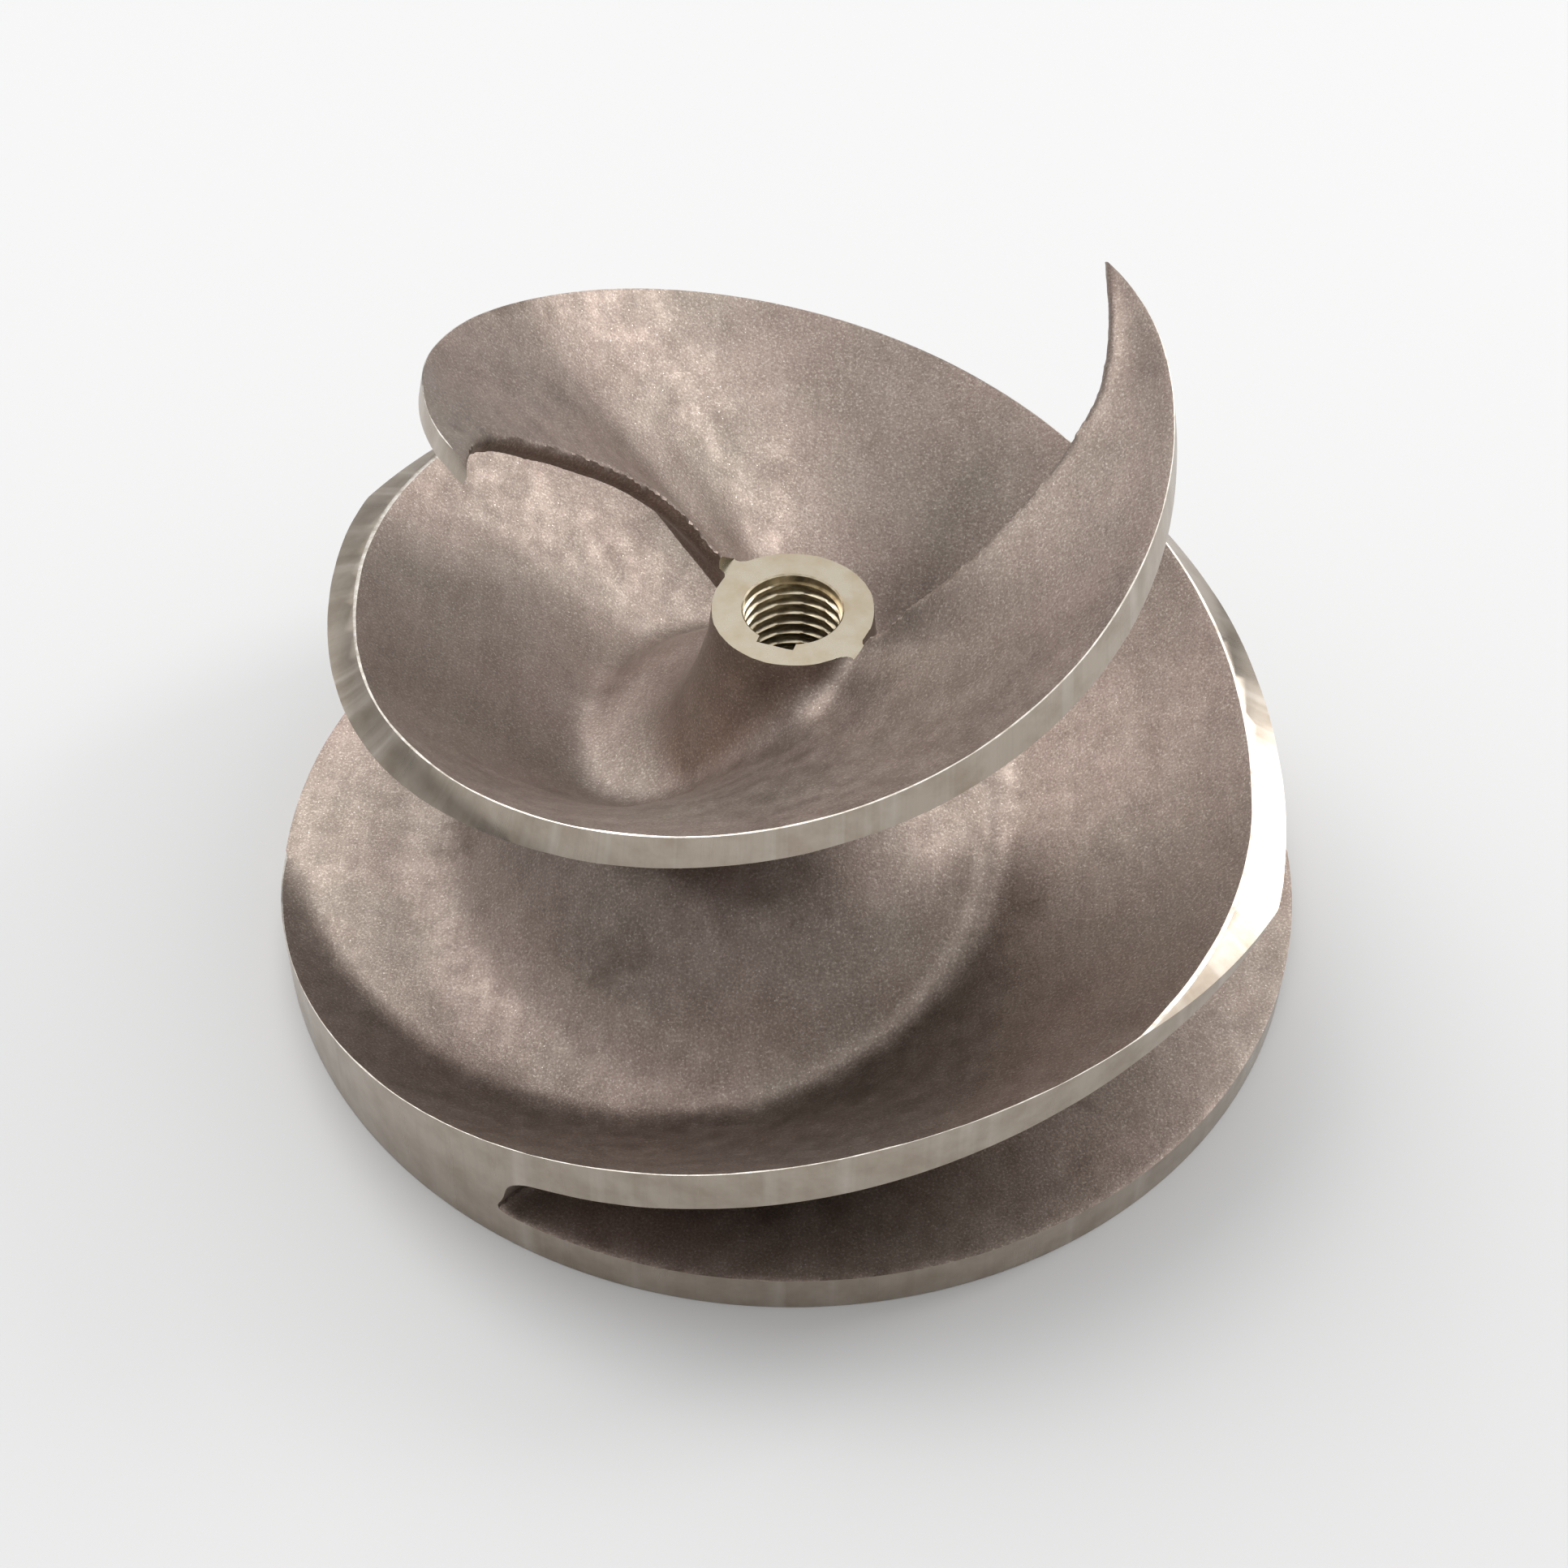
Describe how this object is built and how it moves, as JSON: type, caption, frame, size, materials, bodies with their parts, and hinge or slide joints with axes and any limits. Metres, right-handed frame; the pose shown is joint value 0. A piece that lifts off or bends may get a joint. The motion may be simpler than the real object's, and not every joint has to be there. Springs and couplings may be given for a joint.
{
  "type": "pump impeller",
  "caption": "Screw centrifugal pump impeller: helical vanes rise from a back shroud round a flared hub to open pointed tips, with a threaded, keyed bore.",
  "frame": {"origin": "centre of the back face, on the shaft axis", "axes": "+Z along the shaft axis from the back shroud to the suction side, -Y towards the viewer of the picture"},
  "size_m": [0.24, 0.24, 0.1607],
  "materials": {
    "cast_stainless_steel": "blasted as-cast stainless steel, with bright turned vane rims and nose face"
  },
  "bodies": {
    "root": {"impeller_casting": "cast_stainless_steel"}
  },
  "joints": []
}
